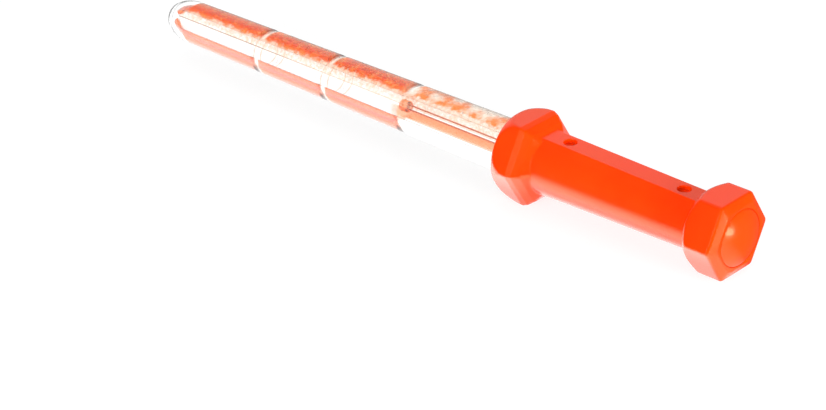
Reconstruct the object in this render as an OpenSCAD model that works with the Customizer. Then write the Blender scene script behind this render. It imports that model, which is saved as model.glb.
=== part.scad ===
// Hand-held LED signal wand: a hollow clear blade on an orange grip that holds two AA cells.
// The wand lies along X, with the blade's tip at -X and the pommel at +X. The grip's flat pad
// faces +Z. The origin is on the long axis, half way between the tip and the top of the button.
// "Station" below means a distance from the pommel's rim plane towards the tip.

/* [Overall] */
// Length from the blade's tip to the top of the button
wand_length = 380; // [320:5:460]

/* [Guard] */
// Guard width across its flats
guard_flats = 40.5; // [38:0.5:56]
// Guard thickness along the wand, before its slope down to the grip
guard_thick = 11.2; // [11:0.1:14]
// Length of the slope behind the guard
guard_slope = 9.5; // [6:0.1:11]
// How far back the centre of the ball that rounds off the guard's front lies
guard_round = 11.2; // [9:0.1:12.7]
// How far the ball that rounds off the guard trims its corners
guard_trim = 0.2; // [0.1:0.1:1]

/* [Grip] */
// Wall of the grip around the cell bore, where it enters the pommel cap
grip_rear_wall = 4.1; // [3.6:0.1:5]
// Wall of the grip around the cell bore, where it meets the guard
grip_front_wall = 6.1; // [5:0.1:8]
// Wall of the threaded spigot at the rear of the grip
spigot_wall = 2.4; // [2:0.1:2.8]
// Width of the flat pad along the top of the grip
pad_w = 10.4; // [8:0.1:13]
// Station of the front lock pin
front_pin_station = 95; // [60:1:105]
// Station of the rear lock pin
rear_pin_station = 29; // [22:1:50]
// Radius of the recess over each lock pin
recess_r = 3.1; // [2.4:0.1:3.6]
// Depth of the recess over each lock pin
recess_depth = 1.8; // [0.8:0.1:1.8]

/* [Cells] */
// Radius of one cell
cell_r = 7.15; // [5:0.05:9]
// Length of one cell with its positive nub
cell_length = 50.5; // [40:0.5:62]
// Radius of a cell's positive nub
cell_nub_r = 2.75; // [2:0.05:3.3]
// Height of a cell's positive nub
cell_nub_h = 1; // [0.8:0.1:1.4]
// Wall of the sleeve around the cells
sleeve_wall = 1.6; // [1.4:0.1:2]

/* [Pommel] */
// Wall of the threaded ring inside the cap
thread_ring_wall = 3.35; // [2.8:0.05:4]
// Wall of the cap's shell at the middle of a flat
pommel_wall = 3.3; // [2.5:0.1:4.5]
// Wall of the cap's shell at its grip-side rim
pommel_rim_wall = 1.75; // [1.2:0.05:2.2]
// Pommel cap thickness along the wand
pommel_thick = 16.9; // [14:0.1:17.5]
// Length of the chamfer at the cap's grip side
pommel_chamfer = 4.4; // [1.5:0.1:5]
// How far the cap's end rises from the rim plane to the button's edge
end_rise = 2; // [0.5:0.1:2.2]

/* [Button] */
// Overlap of the button's flange behind the cap's end wall
button_lip = 1.15; // [0.8:0.05:1.5]
// Height of the button's dome over the rim plane
button_h = 5; // [4.8:0.1:7]
// How far the button travels when pressed
button_travel = 1.2; // [0.6:0.1:1.4]

/* [Blade] */
// Blade radius where it leaves the guard
blade_root_r = 13.1; // [10.5:0.1:16]
// Blade radius just behind its rounded tip
blade_tip_r = 11.1; // [9:0.1:13.5]
// Blade wall
blade_wall = 2; // [1.6:0.1:2.4]
// Extra wall on the axis at the blade's closed tip
tip_extra_wall = 1; // [0.5:0.1:3]
// Air between the blade's closed tip and the point where the films and the light tube end
tip_air = 3; // [1:0.1:5]
// Length of the blade's rounded tip
tip_round = 19; // [14:1:24]
// Distances of the three ring grooves from the blade's tip
groove_from_tip = [180.5, 126.5, 77]; // [40:0.5:185]
// Depth of a ring groove
groove_depth = 1.1; // [0.5:0.1:1.3]
// Half the width of a ring groove at the surface
groove_half_w = 3.6; // [2.5:0.1:5]
// Depth of the blade's root in the guard's socket
root_depth = 7.1; // [7:0.1:9.5]

/* [Light tube] */
// Wall of the tinted light tube
tube_wall = 0.8; // [0.6:0.1:1]
// Outer radius of the light tube's neck
neck_r = 5.6; // [4.2:0.1:5.6]
// Angle that each film strip covers around the blade's bore
strip_angle = 66; // [40:2:80]
// Turn from the middle of the glow strip to the middle of the tint strip
strip_turn = 122; // [100:1:140]
// Thickness of the film strips
strip_thick = 0.3; // [0.2:0.05:0.4]

/* [LED] */
// LED body radius
led_r = 2.5; // [1.5:0.1:2.6]
// LED length from its base to the top of its dome
led_length = 7.6; // [6:0.1:10.4]
// LED lead radius
lead_r = 0.4; // [0.25:0.05:0.5]
// Distance between the centres of the LED's leads
lead_pitch = 2.54; // [1.8:0.02:3.1]

/* [Clearances] */
// Radial gap around parts that drop into a bore
slip = 0.1; // [0.05:0.05:0.15]
// Radial gap of the running fits
running = 0.06; // [0.03:0.01:0.1]
// Radial gap around the button and the light tube
loose = 0.3; // [0.2:0.05:0.4]

/* [Hidden] */
$fn = 96;

// Colours
orange = "orangered";
tint = "darkorange";
clear = [0.85, 0.92, 0.95, 0.35];
brass = "goldenrod";
steel = "silver";
black = [0.12, 0.12, 0.13];
board_green = "seagreen";
natural = "ivory";

// From the cells outwards
sleeve_r_in = cell_r + loose;
sleeve_r = sleeve_r_in + sleeve_wall;
bore_r = sleeve_r + slip;
thread_r = bore_r + spigot_wall;
spigot_r = thread_r - running;
grip_rear_r = bore_r + grip_rear_wall;
grip_front_r = bore_r + grip_front_wall;
ring_r = thread_r + thread_ring_wall;
pocket_r = ring_r + slip;
pommel_rim_r = pocket_r + pommel_rim_wall;
pommel_flats = 2 * (pocket_r + pommel_wall);
flange_r = ring_r - loose;
button_r = flange_r - button_lip - loose;
guard_corner_r = guard_flats / 2 / cos(30);
guard_dome_r = guard_corner_r - guard_trim;
pommel_corner_r = pommel_flats / 2 / cos(30);
slope_profile = [[0, 1], [0.3, 0.88], [0.65, 0.58], [1, 0]];

// From the pommel's rim plane to the grip
end_wall = 2;
end_lip = 1;
ring_station = 6.5;
ring_inset = 0.2;
skirt_lap = 2.6;
skirt_gap = 0.25;
pad_rear = pommel_thick + skirt_gap;
shoulder_station = pommel_thick - skirt_lap;
board_t = 1.2;
board_r = thread_r + 1.4;
board_front = ring_station + board_t;
spigot_rear = board_front + 0.2;
contact_ring_t = 0.6;
contact_ring_front = board_front + contact_ring_t;
contact_ring_w = 2.4;
cap_seal_r = 0.75;
cap_seal_station = shoulder_station - cap_seal_r - 0.4;
seal_lift = 0.05;

// Cells, sleeve and lamp board
spring_h = 6.1;
cells_rear = board_front + spring_h;
cells_front = cells_rear + 2 * cell_length;
sleeve_rear = cells_rear - 1;
contact_t = 0.5;
contact_margin = 1.2;
lamp_board_t = 1.6;
lamp_board_rear = cells_front + contact_t;
lamp_board_front = lamp_board_rear + lamp_board_t;
board_ledge = 0.6;
strip_w = 3;
strip_t = 0.4;
pin_stations = [rear_pin_station, front_pin_station];
pin_shank_r = 1.5;
pin_head_t = 1.2;
pin_depth = 0.7;

// Guard and blade
board_gap = 2.5;
socket_floor = lamp_board_front + board_gap;
guard_front = socket_floor + root_depth;
guard_station = guard_front - guard_thick;
ball_station = guard_front - guard_round;
slope_rear = guard_station - guard_slope;
slope_sink = 0.3;
socket_r = blade_root_r + slip;
rim_x = wand_length / 2 - button_h;
tip_station = wand_length - button_h;
groove_stations = [for (g = groove_from_tip) tip_station - g];
blade_seal_r = 0.7;
blade_seal_station = socket_floor + 3;
round_start = tip_station - tip_round;
bore_tip = tip_station - blade_wall - tip_extra_wall;
film_lead = 4;
film_start = round_start - film_lead;
film_tip = bore_tip - tip_air;

// Light tube, its holder and the LED
neck_end = groove_stations[0] + 1.5;
shoulder_len = 10;
holder_front = guard_front + 3;
wire_hole_r = 1.2;
tube_tip = film_tip - loose;
tube_round = film_tip - film_start + 6;
strip_bond = 0.05;
strip_tip_points = 21;
led_base = groove_stations[0] + 3.5;
led_rim = 0.4;
led_rim_t = 1;
resistor_size = [0.7, 3.2, 1.6];

// Button and switch
dome_wall = 1.8;
flange_t = 1.2;
flange_rear = end_wall + slip + flange_t;
switch_w = 8;
switch_top = 2.6;
switch_floor = 0.8;
plunger_r = 1.8;
plunger_top = 0.6;
post_r = plunger_r + 0.8;
button_spring_wire = 0.4;
button_spring_r = board_r - button_spring_wire - slip;
eps = 0.01;

// Blade radius at a station, before its grooves and rounded tip
function blade_r(s) = blade_root_r + (blade_tip_r - blade_root_r) * (s - guard_front) / (round_start - guard_front);
function bore_of_blade(s) = blade_r(s) - blade_wall;
function tube_r(s) = bore_of_blade(s) - strip_thick - loose;
// Grip radius at a station
function grip_r(s) = grip_rear_r + (grip_front_r - grip_rear_r) * (s - shoulder_station) / (guard_station - shoulder_station);

// Points of a quarter ellipse that closes a tip: radius r at station s0, on the axis at s1
function round_tip(r, s0, s1, n = 24) = [for (i = [0 : n]) [r * cos(90 * i / n), s0 + (s1 - s0) * sin(90 * i / n)]];
// Points of one ring groove in a wall whose radius is given at its two edges
function groove_points(s, depth, half) =
    [for (i = [-6 : 6]) [blade_r(s) - depth * (1 + cos(30 * i)) / 2, s + half * i / 6]];

// Stands its children on the long axis: their +Z runs towards the tip, their +X faces up
module on_axis() translate([rim_x, 0, 0]) rotate([0, -90, 0]) children();

// Turns a cylinder upright: it starts at a height over the axis, at a station
module upright(height, s) translate([height, 0, s]) rotate([0, 90, 0]) children();

// A disc, or a ring where r_in is given, between two stations
module ring(r, s0, s1, r_in = 0) {
    difference() {
        translate([0, 0, s0]) cylinder(r = r, h = s1 - s0);
        if (r_in > 0) translate([0, 0, s0 - eps]) cylinder(r = r_in, h = s1 - s0 + 2 * eps);
    }
}

// A hexagonal body through rows of [station, corner radius], with flats at the top and the bottom
module hex_body(rows) polyhedron(
    points = [for (row = rows, k = [0 : 5]) [row[1] * cos(60 * k + 30), row[1] * sin(60 * k + 30), row[0]]],
    faces = concat([[for (k = [0 : 5]) k], [for (k = [5 : -1 : 0]) 6 * (len(rows) - 1) + k]],
        [for (i = [1 : len(rows) - 1], k = [0 : 5]) [6 * (i - 1) + k, 6 * i + k, 6 * i + (k + 1) % 6, 6 * (i - 1) + (k + 1) % 6]]));

// An O-ring round the axis
module o_ring(r_mid, section_r, s) translate([0, 0, s]) rotate_extrude() translate([r_mid, 0]) circle(r = section_r, $fn = 32);

// A coil spring as stacked round rings, joined by a straight tie on one side
module spring_rings(r0, r1, wire, s0, s1, turns) {
    step = (s1 - s0 - 2 * wire) / (turns - 1);
    slope = (r1 - r0) / (turns - 1);
    for (i = [0 : turns - 1]) o_ring(r0 + slope * i, wire, s0 + wire + step * i);
    for (i = [0 : turns - 2])
        translate([r0 + slope * (i + 0.5), 0, s0 + wire + step * (i + 0.5)])
            rotate([0, atan2(slope, step), 0]) cylinder(r = wire * 0.8, h = norm([slope, step]), center = true, $fn = 24);
}

// Grip and guard in one moulding: socket at the front, cell bore, threaded spigot at the rear
module grip() color(orange) on_axis() difference() {
    union() {
        rotate_extrude() polygon(
            [[0, spigot_rear], [spigot_r, spigot_rear], [spigot_r, shoulder_station],
             [grip_r(shoulder_station), shoulder_station], [grip_front_r, guard_station], [0, guard_station]]);
        grip_pad();
        intersection() {
            hex_body(concat([for (i = [len(slope_profile) - 1 : -1 : 0]) slope_row(slope_profile[i])], [[guard_front, guard_corner_r]]));
            translate([0, 0, ball_station]) sphere(r = guard_dome_r);
        }
    }
    ring(bore_r, 0, lamp_board_front);
    ring(bore_r - board_ledge, lamp_board_front - eps, socket_floor + eps);
    ring(socket_r, socket_floor, guard_front + 1);
    o_ring(spigot_r - cap_seal_r + seal_lift, cap_seal_r + seal_lift, cap_seal_station);
    for (s = pin_stations) {
        upright(pin_top(s) - pin_head_t, s) cylinder(r = recess_r, h = grip_front_r);
        upright(0, s) cylinder(r = pin_shank_r + running, h = grip_r(s));
    }
}

// Row of the slope behind the guard: its rounded profile rises from inside the grip to the guard's corners
function slope_row(point) = let(foot_r = grip_r(slope_rear) - slope_sink)
    [guard_station - guard_slope * point[0], foot_r + (guard_corner_r - foot_r) * point[1]];

// Flat pad along the top, tangent to the tapered grip; it stops just short of the cap
module grip_pad() {
    rotate([90, 0, 0]) linear_extrude(pad_w, center = true) polygon([
        [bore_r + 1, pad_rear], [grip_r(pad_rear), pad_rear],
        [grip_r(guard_station), guard_station + 1], [bore_r + 1, guard_station + 1]]);
}

// Two stepped pins that lock the sleeve in the grip
module lock_pins() color(orange) on_axis() for (s = pin_stations) {
    upright(pin_top(s) - pin_head_t, s) cylinder(r = recess_r - running, h = pin_head_t);
    upright(sleeve_r - pin_depth, s) cylinder(r = pin_shank_r, h = pin_top(s) - pin_head_t - sleeve_r + pin_depth + eps);
}
// Height of a lock pin's head over the axis
function pin_top(s) = grip_r(s) - recess_depth;

// Sleeve that guides the cells, with a slot for the return strip and blind holes for the pins
module battery_sleeve() color(natural) on_axis() difference() {
    ring(sleeve_r, sleeve_rear, cells_front, sleeve_r_in);
    translate([-sleeve_r - slip, -strip_w / 2 - slip, sleeve_rear - 1])
        cube([strip_t + 3 * slip, strip_w + 2 * slip, cells_front - sleeve_rear + 2]);
    for (s = pin_stations) upright(sleeve_r - pin_depth, s) cylinder(r = pin_shank_r + running, h = sleeve_wall);
}

// Flat strip that brings the current back from the tail to the lamp board
module return_strip() color(brass) on_axis() translate([-sleeve_r + slip, -strip_w / 2, contact_ring_front])
    cube([strip_t, strip_w, lamp_board_rear - contact_ring_front]);

// One cell: can, and positive nub towards the tip
module cell(s) {
    ring(cell_r, s, s + cell_length - cell_nub_h);
    ring(cell_nub_r, s + cell_length - cell_nub_h - eps, s + cell_length);
}
module rear_cell() color(steel) on_axis() cell(cells_rear);
module front_cell() color(steel) on_axis() cell(cells_rear + cell_length);

// Positive contact disc on the lamp board
module front_contact() color(brass) on_axis() ring(cell_nub_r + contact_margin, cells_front, lamp_board_rear);

// Round board that feeds the LED
module lamp_board() color(board_green) on_axis() ring(bore_r - slip, lamp_board_rear, lamp_board_front);

// Resistor on the front of the lamp board
module resistor() color(black) on_axis() translate([-sleeve_r_in, -resistor_size[1] / 2, lamp_board_front])
    cube([resistor_size[2], resistor_size[1], resistor_size[0]]);

// Plug in the blade's root that centres the light tube's neck
module lamp_holder() color(natural) on_axis() difference() {
    ring(bore_of_blade(guard_front) - slip, socket_floor, holder_front, neck_r + slip);
    for (side = [-90, 90]) rotate(side) translate([neck_r + 2 * wire_hole_r, 0, socket_floor - 1])
        cylinder(r = wire_hole_r, h = holder_front - socket_floor + 2);
}

// LED with a flange at its base and its dome towards the tip
module led() color(orange) on_axis() translate([0, 0, led_base]) rotate_extrude() polygon(concat(
    [[0, 0], [led_r + led_rim, 0], [led_r + led_rim, led_rim_t], [led_r, led_rim_t]],
    [for (i = [0 : 12]) [led_r * cos(7.5 * i), led_length - led_r + led_r * sin(7.5 * i)]]));

// Two leads from the lamp board to the LED
module led_leads() color(steel) on_axis() for (side = [-0.5, 0.5])
    translate([side * lead_pitch, 0, lamp_board_front]) cylinder(r = lead_r, h = led_base - lamp_board_front, $fn = 24);

// Tinted tube that spreads the light: neck, shoulder, tapered body and pointed closed tip
module light_tube() color(tint, 0.6) on_axis() rotate_extrude() polygon(concat(
    [[neck_r, lamp_board_front], [neck_r, neck_end]],
    shoulder(neck_r, tube_r(neck_end + shoulder_len)),
    [[tube_r(tube_tip - tube_round), tube_tip - tube_round]],
    round_tip(tube_r(tube_tip - tube_round), tube_tip - tube_round, tube_tip),
    reversed(round_tip(tube_r(tube_tip - tube_round) - tube_wall, tube_tip - tube_round, tube_tip - tube_wall)),
    reversed(shoulder(neck_r - tube_wall, tube_r(neck_end + shoulder_len) - tube_wall)),
    [[neck_r - tube_wall, neck_end], [neck_r - tube_wall, lamp_board_front]]));
// Smooth S-shaped shoulder between the neck and the body
function shoulder(r0, r1) = [for (i = [1 : 12]) [r0 + (r1 - r0) * (1 - cos(15 * i)) / 2, neck_end + shoulder_len * i / 12]];
function reversed(list) = [for (i = [len(list) - 1 : -1 : 0]) list[i]];

// Textured film bonded along the top of the blade's bore, and plain tinted film along its near underside
module glow_strip() color(orange) on_axis() film_strip(0);
module tint_strip() color(tint) on_axis() film_strip(strip_turn);

// Film that follows the blade's bore and closes in before its tip; its middle is turned from the top by an angle
module film_strip(turn) rotate(-turn - strip_angle / 2) rotate_extrude(angle = strip_angle)
    polygon(concat(film_edge(strip_bond), reversed(film_edge(strip_bond + strip_thick))));
// Points along the bore's wall at a depth under it
function film_edge(depth) = concat([[bore_of_blade(holder_front) - depth, holder_front]],
    [for (i = [0 : strip_tip_points]) round_tip(bore_of_blade(film_start), film_start, film_tip)[i] - [depth, 0]]);

// Clear hollow blade with ring grooves, a thick closed tip and a plain root for the guard's socket
module blade() color(clear) on_axis() difference() {
    rotate_extrude() polygon(concat(
        [[0, socket_floor], [blade_root_r, socket_floor], [blade_root_r, guard_front]],
        [for (s = groove_stations) each groove_points(s, groove_depth, groove_half_w)],
        round_tip(blade_r(round_start), round_start, tip_station)));
    rotate_extrude() polygon(concat(
        [[0, socket_floor - 1], [bore_of_blade(guard_front), socket_floor - 1],
         [bore_of_blade(guard_front), guard_front]], round_tip(bore_of_blade(round_start), round_start, bore_tip)));
    o_ring(blade_root_r - blade_seal_r + seal_lift, blade_seal_r + seal_lift, blade_seal_station);
}

// Seal between the blade's root and the guard
module blade_o_ring() color(black) on_axis() 
    o_ring(blade_root_r - blade_seal_r + seal_lift, blade_seal_r, blade_seal_station);

// Seal between the grip's spigot and the cap
module cap_o_ring() color(black) on_axis()
    o_ring(spigot_r - cap_seal_r + seal_lift, cap_seal_r, cap_seal_station);

// Spring that presses the cells forward
module battery_spring() color(steel) on_axis() spring_rings(4.2, 2.6, 0.4, board_front, cells_rear, 5);

// Hexagonal shell of the cap; its end rises to an opening for the button
module pommel_cap() color(orange) on_axis() difference() {
    intersection() {
        hex_body([[-end_rise, (button_r + loose + end_lip) / cos(30)], [0, pommel_corner_r], [pommel_thick, pommel_corner_r]]);
        rotate_extrude() polygon([[0, -pommel_thick], [pommel_flats, -pommel_thick], [pommel_flats, pommel_thick - 2 * pommel_chamfer],
            [pommel_corner_r, pommel_thick - pommel_chamfer], [pommel_rim_r, pommel_thick], [0, pommel_thick]]);
    }
    ring(button_r + loose, -end_rise - 1, end_wall + 1);
    ring(pocket_r, end_wall, pommel_thick + 1);
}

// Threaded ring fixed inside the cap, with a seat for the tail board
module thread_ring() color(orange) on_axis() difference() {
    ring(ring_r, ring_station, pommel_thick - ring_inset);
    ring(thread_r, ring_station - 1, pommel_thick);
    ring(board_r + slip, ring_station - 1, board_front);
    ring(grip_rear_r + skirt_gap, shoulder_station - ring_inset, pommel_thick + 1);
}

// Round board that carries the switch and the battery spring
module tail_board() color(board_green) on_axis() ring(board_r, ring_station, board_front);

// Brass ring that joins the tail board to the return strip
module contact_ring() color(brass) on_axis() ring(sleeve_r, board_front, contact_ring_front, sleeve_r - contact_ring_w);

// Latching push switch on the tail board
module switch_body() color(black) on_axis() difference() {
    translate([-switch_w / 2, -switch_w / 2, switch_top]) cube([switch_w, switch_w, ring_station - switch_top]);
    ring(plunger_r + running, switch_top - 1, ring_station - switch_floor);
}

// Plunger that the button pushes into the switch
module switch_plunger() color(natural) on_axis()
    ring(plunger_r, plunger_top, ring_station - switch_floor - button_travel - 2 * slip);

// Domed push button with a retaining flange and a post over the plunger
module button() color(orange) on_axis() {
    difference() {
        union() {
            translate([0, 0, -end_rise]) dome(button_r, button_h - end_rise);
            ring(button_r, -end_rise - eps, flange_rear);
            ring(flange_r, end_wall + slip, flange_rear);
        }
        difference() {
            translate([0, 0, eps - end_rise]) dome(button_r - dome_wall, button_h - end_rise - dome_wall);
            ring(post_r, -button_h, plunger_top);
        }
        ring(button_r - dome_wall, -end_rise, flange_rear + 1);
    }
    ring(post_r, -end_rise - 1, plunger_top);
}
// Ball cap that stands on the rim plane and points away from the tip
module dome(r, h) {
    ball_r = (r * r + h * h) / (2 * h);
    intersection() {
        translate([0, 0, ball_r - h]) sphere(r = ball_r);
        ring(r, -h - 1, 0);
    }
}

// Spring that returns the button, between its flange and the tail board
module button_spring() color(steel) on_axis()
    spring_rings(button_spring_r, button_spring_r, button_spring_wire, flange_rear, ring_station, 3);

grip();
lock_pins();
battery_sleeve();
return_strip();
rear_cell();
front_cell();
front_contact();
lamp_board();
resistor();
lamp_holder();
led();
led_leads();
light_tube();
glow_strip();
tint_strip();
blade();
blade_o_ring();
battery_spring();
pommel_cap();
thread_ring();
cap_o_ring();
tail_board();
contact_ring();
switch_body();
switch_plunger();
button();
button_spring();
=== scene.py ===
import math

import bmesh
import bpy
import numpy as np
from mathutils import Matrix, Vector


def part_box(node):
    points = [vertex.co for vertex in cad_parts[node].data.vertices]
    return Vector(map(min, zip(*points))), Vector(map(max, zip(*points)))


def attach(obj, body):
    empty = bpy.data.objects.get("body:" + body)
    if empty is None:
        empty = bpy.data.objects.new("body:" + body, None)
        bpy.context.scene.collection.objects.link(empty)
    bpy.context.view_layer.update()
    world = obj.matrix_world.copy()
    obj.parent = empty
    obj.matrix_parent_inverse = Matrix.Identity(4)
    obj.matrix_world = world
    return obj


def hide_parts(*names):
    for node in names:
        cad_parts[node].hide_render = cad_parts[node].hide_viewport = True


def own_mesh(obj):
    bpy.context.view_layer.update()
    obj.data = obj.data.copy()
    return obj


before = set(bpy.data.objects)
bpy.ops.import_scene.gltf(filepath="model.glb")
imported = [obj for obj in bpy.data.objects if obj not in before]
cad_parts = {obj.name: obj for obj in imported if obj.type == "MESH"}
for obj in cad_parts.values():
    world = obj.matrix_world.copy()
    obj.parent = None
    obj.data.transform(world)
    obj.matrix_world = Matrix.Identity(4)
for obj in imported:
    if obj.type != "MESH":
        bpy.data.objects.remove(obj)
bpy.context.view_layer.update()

# Lengths below are in millimetres, as on a drawing, and MM turns them to metres. A "station" is a
# distance along the wand from the pommel's rim plane towards the blade's tip.
MM = 0.001
END_RISE = 2.0
RIM_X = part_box("pommel_cap")[1].x - END_RISE * MM
TIP_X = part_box("blade")[0].x
FLOOR_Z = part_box("grip")[0].z


def station(x):
    """Station in millimetres of a place along the wand given in metres."""
    return (RIM_X - x) / MM


def radius_of(name):
    """Largest radius of a turned CAD node, in millimetres."""
    low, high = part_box(name)
    return (high.z - low.z) / 2 / MM


# Sizes read from the frame
SPIGOT_REAR = station(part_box("grip")[1].x)
GUARD_FRONT = station(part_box("grip")[0].x)
TIP = station(TIP_X)
GUARD_APOTHEM = -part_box("grip")[0].z / MM
CAP_APOTHEM = -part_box("pommel_cap")[0].z / MM
CAP_THICK = station(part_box("pommel_cap")[0].x)
SOCKET_FLOOR = station(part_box("blade")[1].x)
BLADE_ROOT_R = radius_of("blade")
LAMP_BOARD_FRONT = station(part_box("lamp_board")[0].x)
DOME_TOP = station(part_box("button")[1].x)
FLANGE_R = radius_of("button")
FLANGE_REAR = station(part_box("button")[0].x)

# Sizes that the drawing of the part gives
SHOULDER = CAP_THICK - 2.6
GUARD_BACK = GUARD_FRONT - 11.2
GUARD_FILLET = 0.9
SLOPE = 9.5
SLOPE_PROFILE = ((0.0, 1.0), (0.3, 0.88), (0.65, 0.58), (1.0, 0.0))
GRIP_REAR_R, GRIP_FRONT_R = 13.25, 15.25
SPIGOT_R, SPIGOT_BODY = 11.49, 8.6
BORE_R = 9.15
LEDGE_R = BORE_R - 0.6
SOCKET_R = BLADE_ROOT_R + 0.1
GUARD_BALL_R = GUARD_APOTHEM / math.cos(math.radians(30)) - 0.2
PAD_HALF = 5.2
PAD_REAR = CAP_THICK + 0.25
PIN_STATIONS = (29.0, 95.0)
RECESS_R, RECESS_DEPTH = 3.1, 1.8
SEAL_STATION, SEAL_R = SHOULDER - 1.15, 0.8
# The chamfer's length, and how steeply its cone leaves the hexagon behind it
CAP_CHAMFER, CLEAR_SLOPE = 4.4, 6.2
CAP_RIM_R = 16.75
POCKET_R = 15.0
CAP_HOLE_R = 13.45
CAP_END_APOTHEM = 14.45
CAP_END_WALL = 2.0
BUTTON_R = 13.37
BLADE_TIP_R, BLADE_WALL = 11.1, 2.0
TIP_ROUND, TIP_WALL = 19.0, 3.0
GROOVES = tuple(TIP - d for d in (180.5, 126.5, 77))
GROOVE_HALF = 3.2
# Shallower than the drawing's 1.1, whose deeper walls show dark arcs in clear plastic
GROOVE_DEPTH = 0.35
ROUND_START = TIP - TIP_ROUND
NECK_R, TUBE_WALL = 5.6, 0.8
FILM_START, FILM_TIP = ROUND_START - 4, TIP - 6
# Distance from each groove's middle of the painted shade rings that stand for refraction arcs
REFRACTION_ARC_AWAY = 2.7
NECK_END = GROOVES[0] + 1.5
SHOULDER_LENGTH = 10.0
STRIP_HALF_ANGLE = 33.0
STRIP_THICK, FILM_BOND = 0.3, 0.05
SEAM_ANGLE = 53.0
STRIP_TURN = 122.0
STRIP_REAR = GUARD_FRONT + 3
SPRING_WIRE_R, SPRING_TURNS = 0.4, 4


# ---------------------------------------------------------------- shapes


def grip_radius(s):
    """Radius of the tapered round grip at a station: a straight line between its two ends."""
    share = (s - SHOULDER) / (GUARD_BACK - SHOULDER)
    return GRIP_REAR_R + (GRIP_FRONT_R - GRIP_REAR_R) * share


def blade_radius(s):
    """Radius of the tapered blade at a station, before its grooves and its rounded tip."""
    share = (s - GUARD_FRONT) / (ROUND_START - GUARD_FRONT)
    return BLADE_ROOT_R + (BLADE_TIP_R - BLADE_ROOT_R) * share


def tube_radius(s):
    """Outer radius of the light tube's body at a station: the blade's bore, less a film and a
    gap."""
    return blade_radius(s) - BLADE_WALL - STRIP_THICK - 0.3


def softer_min(a, b, width):
    """The smaller of two arrays, rounded off where they are closer than the width."""
    return np.minimum(a, b) - np.maximum(width - np.abs(a - b), 0) ** 2 / (4 * width)


def softer_max(a, b, width):
    """The larger of two arrays, rounded off where they are closer than the width."""
    return -softer_min(-a, -b, width)


def ramp(x, start, end):
    """0 before start, 1 after end, and a smooth S between."""
    t = np.clip((x - start) / (end - start), 0, 1)
    return t * t * (3 - 2 * t)


def hexagon(theta, apothem, fillet):
    """Polar radius of a hexagon with a flat facing up and rounded corners: the flat's straight
    line, and within the corner's fillet the far root of the circle that touches both flats."""
    to_corner = math.radians(30) - np.abs(
        (theta + math.radians(30)) % math.radians(60) - math.radians(30)
    )
    flat = apothem / np.cos(math.radians(30) - to_corner)
    centre = (apothem - fillet) / math.cos(math.radians(30))
    touch = math.atan2(fillet / 2, centre + fillet * math.cos(math.radians(30)))
    across = np.clip(fillet**2 - (centre * np.sin(to_corner)) ** 2, 0, None)
    arc = centre * np.cos(to_corner) + np.sqrt(across)
    return np.where(to_corner < touch, arc, flat)


def columns(*dense):
    """Angles round the axis in radians: one every 3 degrees, and finer ones over each
    (middle, half width, step) band given in degrees."""
    coarse = np.arange(-180, 180, 3.0)
    for middle, half, step in dense:
        coarse = coarse[np.abs(coarse - middle) > half + step / 2]
    fine = [middle + np.arange(-half, half + step / 4, step) for middle, half, step in dense]
    merged = np.unique(np.round(np.concatenate([coarse, *fine]) % 360, 3))
    return np.radians(merged)


CORNERS = tuple((30.0 + 60 * k, 3.0, 0.5) for k in range(-3, 3))
PAD_EDGES = ((0.0, 14.0, 0.5), (21.5, 3.5, 0.5), (-21.5, 3.5, 0.5))


def polar_skin(name, theta, rows, closed=True):
    """A surface of two parameters: each row gives a station and a polar radius for every angle
    round the wand's axis. A closed skin joins its last row to its first; an open one starts and
    ends on the axis, and those two rows shrink to one point each."""
    stations = np.array([np.broadcast_to(np.asarray(s, float), theta.shape) for s, _ in rows])
    radii = np.array([np.broadcast_to(np.asarray(r, float), theta.shape) for _, r in rows])
    x = RIM_X - stations * MM
    y = -radii * np.sin(theta) * MM
    z = radii * np.cos(theta) * MM
    points = np.stack([x, y, z], -1)
    count, around = len(rows), len(theta)
    index = np.arange(count * around).reshape(count, around)
    if closed:
        upper, lower = index, np.roll(index, -1, 0)
    else:
        upper, lower = index[1:-2], index[2:-1]
    quads = np.stack(
        [upper, lower, np.roll(lower, -1, 1), np.roll(upper, -1, 1)], -1
    ).reshape(-1, 4)
    faces = [tuple(q) for q in quads.tolist()]
    if not closed:
        for row, pole in ((1, 0), (count - 2, count - 1)):
            ring = index[row]
            fan = np.stack([np.full(around, index[pole, 0]), ring, np.roll(ring, -1)], -1)
            if row > 1:
                fan = fan[:, ::-1]
            faces += [tuple(f) for f in fan.tolist()]
    return mesh_piece(name, points.reshape(-1, 3), faces)


def mesh_piece(name, points, faces, smooth_below=40):
    """A mesh object from points in metres and faces, facing outwards, smooth but for sharp
    edges."""
    mesh = bpy.data.meshes.new(name)
    mesh.from_pydata(np.asarray(points).tolist(), [], faces)
    mesh.validate()
    tidy_mesh(mesh)
    mesh.polygons.foreach_set("use_smooth", np.ones(len(mesh.polygons), bool))
    mesh.set_sharp_from_angle(angle=math.radians(smooth_below))
    piece = bpy.data.objects.new(name, mesh)
    bpy.context.scene.collection.objects.link(piece)
    return piece


def tidy_mesh(mesh):
    """Drops unused and doubled points and turns every face outwards."""
    work = bmesh.new()
    work.from_mesh(mesh)
    bmesh.ops.remove_doubles(work, verts=work.verts, dist=1e-7)
    loose = [v for v in work.verts if not v.link_faces]
    bmesh.ops.delete(work, geom=loose, context="VERTS")
    bmesh.ops.recalc_face_normals(work, faces=work.faces)
    work.to_mesh(mesh)
    work.free()
    mesh.update()


def step_from(s1, r1, s0, r0, size):
    """The point that lies a given length from (s1, r1) towards (s0, r0), at most at (s0, r0)."""
    k = size / np.maximum(np.hypot(s0 - s1, r0 - r1), size + 1e-6)
    return s1 + (s0 - s1) * k, r1 + (r0 - r1) * k


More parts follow.
